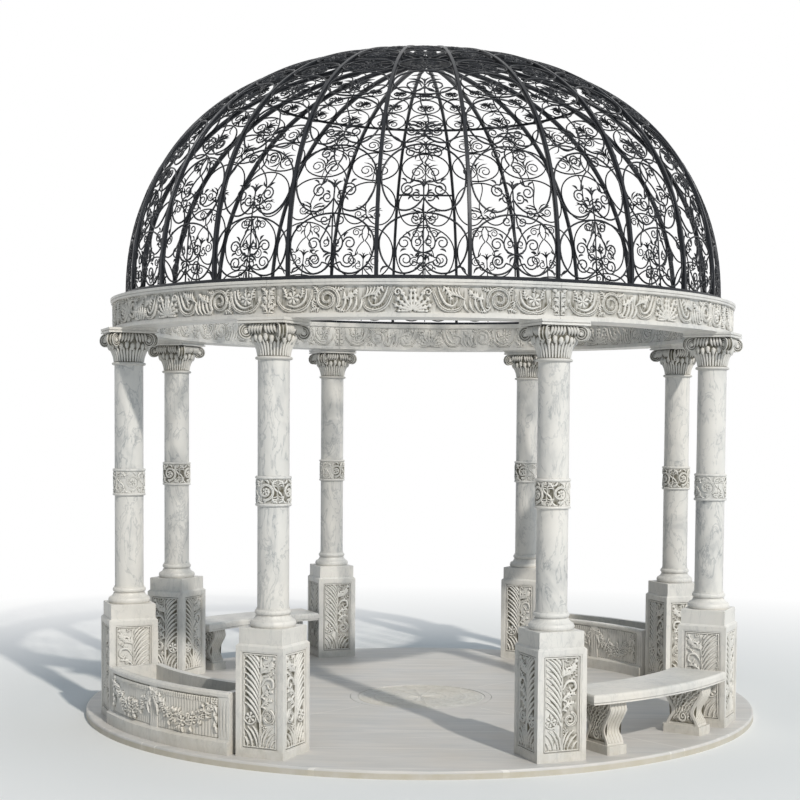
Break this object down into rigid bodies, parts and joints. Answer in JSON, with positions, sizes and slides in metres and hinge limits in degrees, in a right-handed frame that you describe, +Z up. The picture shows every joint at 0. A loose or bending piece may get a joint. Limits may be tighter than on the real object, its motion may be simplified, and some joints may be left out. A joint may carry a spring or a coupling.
{
  "type": "garden pavilion",
  "caption": "Round open garden pavilion: marble columns on pedestals, carved ring beam, openwork iron dome, curved benches and planters.",
  "frame": {"origin": "centre of the underside of the floor slab", "axes": "+Z up; the front open bay faces -Y; +X to the right seen from the front"},
  "size_m": [5.6798, 5.6798, 5.538],
  "materials": {
    "veined_marble": "polished, with grey veins",
    "white_marble": "honed, faint grey veins",
    "carved_marble": "carved, matt, dirt in the hollows",
    "floor_marble": "honed paving with joints, yellowed edge",
    "black_iron": "dark paint with a soft sheen"
  },
  "bodies": {
    "root": {"lower_shafts": "veined_marble", "upper_shafts": "veined_marble", "pedestals": "white_marble", "pedestal_caps": "white_marble", "column_bases": "white_marble", "impost_plates": "white_marble", "bench_seat_front_right": "white_marble", "bench_seat_back_left": "white_marble", "carved_bands": "carved_marble", "capitals": "carved_marble", "planter_front_left": "carved_marble", "planter_back_right": "carved_marble", "bench_legs_front_right": "carved_marble", "bench_legs_back_left": "carved_marble", "floor_medallion": "carved_marble", "ring_beam_1": "carved_marble", "ring_beam_2": "carved_marble", "ring_beam_3": "carved_marble", "ring_beam_4": "carved_marble", "ring_beam_5": "carved_marble", "ring_beam_6": "carved_marble", "ring_beam_7": "carved_marble", "ring_beam_8": "carved_marble", "floor_slab": "floor_marble", "dome_base_hoop": "black_iron", "dome_upper_hoop": "black_iron", "dome_crown": "black_iron", "dome_cross_bar": "black_iron", "dome_ribs_1": "black_iron", "dome_ribs_2": "black_iron", "dome_ribs_3": "black_iron", "dome_ribs_4": "black_iron", "dome_ribs_5": "black_iron", "dome_ribs_6": "black_iron", "dome_ribs_7": "black_iron", "dome_ribs_8": "black_iron", "dome_scrolls_1": "black_iron", "dome_scrolls_2": "black_iron", "dome_scrolls_3": "black_iron", "dome_scrolls_4": "black_iron", "dome_scrolls_5": "black_iron"}
  },
  "joints": []
}
